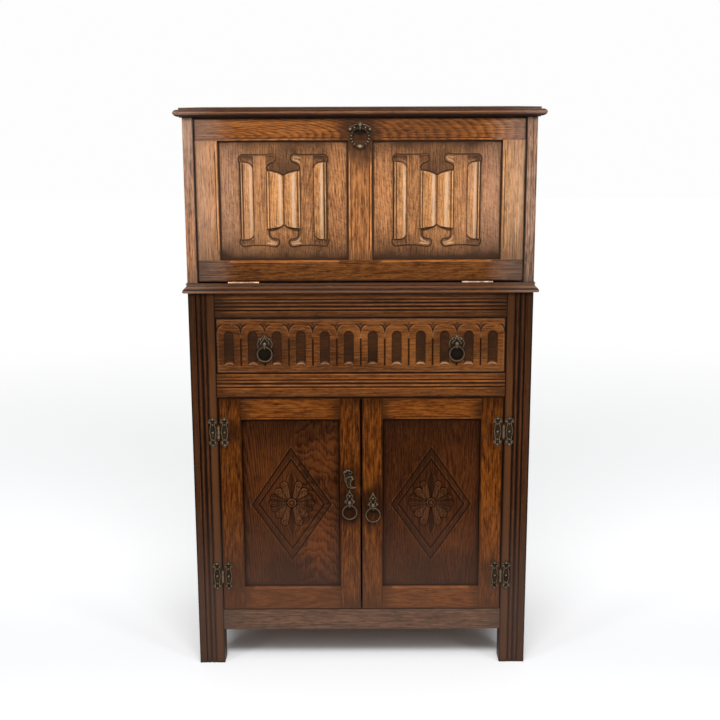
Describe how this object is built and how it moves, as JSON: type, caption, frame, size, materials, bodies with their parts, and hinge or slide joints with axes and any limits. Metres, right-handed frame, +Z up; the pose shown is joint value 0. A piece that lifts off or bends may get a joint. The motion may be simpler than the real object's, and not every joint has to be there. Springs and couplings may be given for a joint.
{
  "type": "bar cabinet",
  "caption": "Upright oak bar cabinet with a linenfold fall front on quadrant stays, a fluted drawer and a cupboard with carved lozenge doors and ring pulls",
  "frame": {"origin": "on the floor under the middle of the overall box", "axes": "+Z up, front faces -Y, +X to the right seen from the front"},
  "size_m": [0.816, 0.418, 1.3115],
  "materials": {
    "dark_oak": "dark oak stain under wax, worn lighter on raised edges",
    "carved_oak": "mid oak stain with rubbed golden ribs",
    "panel_oak": "thin oak-faced panel, stained",
    "inner_oak": "plain oak, thinly stained",
    "bronze": "dark antique bronze, rubbed on the high spots",
    "brass": "aged brass",
    "steel": "dulled steel"
  },
  "bodies": {
    "carcass": {"top_board": "dark_oak", "upper_side_left": "dark_oak", "upper_side_right": "dark_oak", "upper_back_panel": "panel_oak", "bar_shelf": "inner_oak", "bar_floor": "dark_oak", "stay_keepers": "steel", "waist_moulding": "dark_oak", "front_post_left": "dark_oak", "front_post_right": "dark_oak", "rear_posts": "dark_oak", "frieze_rail": "dark_oak", "drawer_rail": "dark_oak", "bottom_rail": "dark_oak", "side_rails": "dark_oak", "side_panel_left": "panel_oak", "side_panel_right": "panel_oak", "back_rails": "inner_oak", "lower_back_panel": "panel_oak", "cupboard_floor": "inner_oak", "cupboard_shelf": "inner_oak", "shelf_bearers": "inner_oak", "drawer_runners": "inner_oak", "drawer_kickers": "inner_oak", "closing_strips": "inner_oak", "fall_hinge_case_leaves": "brass", "post_hinge_leaves": "bronze", "hinge_pins": "brass"},
    "fall_front": {"fall_top_rail": "dark_oak", "fall_bottom_rail": "dark_oak", "fall_stiles": "dark_oak", "fall_muntin": "dark_oak", "linenfold_panel_left": "carved_oak", "linenfold_panel_right": "carved_oak", "fall_hinge_leaves": "brass", "quadrant_stays": "steel", "fall_pull_plate": "bronze"},
    "fall_ring": {"fall_pull_ring": "bronze"},
    "drawer": {"drawer_front": "dark_oak", "drawer_sides": "inner_oak", "drawer_back": "inner_oak", "drawer_bottom": "panel_oak", "drawer_pull_plates": "bronze"},
    "drawer_ring_left": {"drawer_pull_ring_left": "bronze"},
    "drawer_ring_right": {"drawer_pull_ring_right": "bronze"},
    "left_door": {"left_door_stiles": "dark_oak", "left_door_rails": "dark_oak", "left_door_panel": "dark_oak", "left_door_hinge_leaves": "bronze", "left_door_pull_plate": "bronze", "catch_plate": "bronze"},
    "left_door_ring": {"left_door_pull_ring": "bronze"},
    "catch": {"catch_turn": "bronze"},
    "right_door": {"right_door_stiles": "dark_oak", "right_door_rails": "dark_oak", "right_door_panel": "dark_oak", "right_door_hinge_leaves": "bronze", "right_door_pull_plate": "bronze"},
    "right_door_ring": {"right_door_pull_ring": "bronze"}
  },
  "joints": [
    {"name": "fall_hinge", "type": "hinge", "parent": "carcass", "child": "fall_front", "pos_m": [0, -0.1936, 0.9263], "axis": [1, 0, 0], "range_deg": [0, 90]},
    {"name": "fall_ring_swing", "type": "hinge", "parent": "fall_front", "child": "fall_ring", "pos_m": [0, -0.2, 1.2668], "axis": [-1, 0, 0], "range_deg": [0, 95]},
    {"name": "drawer_slide", "type": "slide", "parent": "carcass", "child": "drawer", "axis": [0, -1, 0], "range_m": [0, 0.26]},
    {"name": "drawer_ring_left_swing", "type": "hinge", "parent": "drawer", "child": "drawer_ring_left", "pos_m": [-0.2185, -0.2, 0.7785], "axis": [-1, 0, 0], "range_deg": [0, 95]},
    {"name": "drawer_ring_right_swing", "type": "hinge", "parent": "drawer", "child": "drawer_ring_right", "pos_m": [0.2185, -0.2, 0.7785], "axis": [-1, 0, 0], "range_deg": [0, 95]},
    {"name": "left_door_hinge", "type": "hinge", "parent": "carcass", "child": "left_door", "pos_m": [-0.32925, -0.1942, 0.398], "axis": [0, 0, -1], "range_deg": [0, 165]},
    {"name": "left_door_ring_swing", "type": "hinge", "parent": "left_door", "child": "left_door_ring", "pos_m": [-0.0273, -0.2, 0.4], "axis": [-1, 0, 0], "range_deg": [0, 95]},
    {"name": "catch_turn_pivot", "type": "hinge", "parent": "left_door", "child": "catch", "pos_m": [-0.03, -0.191, 0.463], "axis": [0, -1, 0], "range_deg": [0, 90]},
    {"name": "right_door_hinge", "type": "hinge", "parent": "carcass", "child": "right_door", "pos_m": [0.32925, -0.1942, 0.398], "axis": [0, 0, 1], "range_deg": [0, 165]},
    {"name": "right_door_ring_swing", "type": "hinge", "parent": "right_door", "child": "right_door_ring", "pos_m": [0.0273, -0.2, 0.3935], "axis": [-1, 0, 0], "range_deg": [0, 95]}
  ]
}
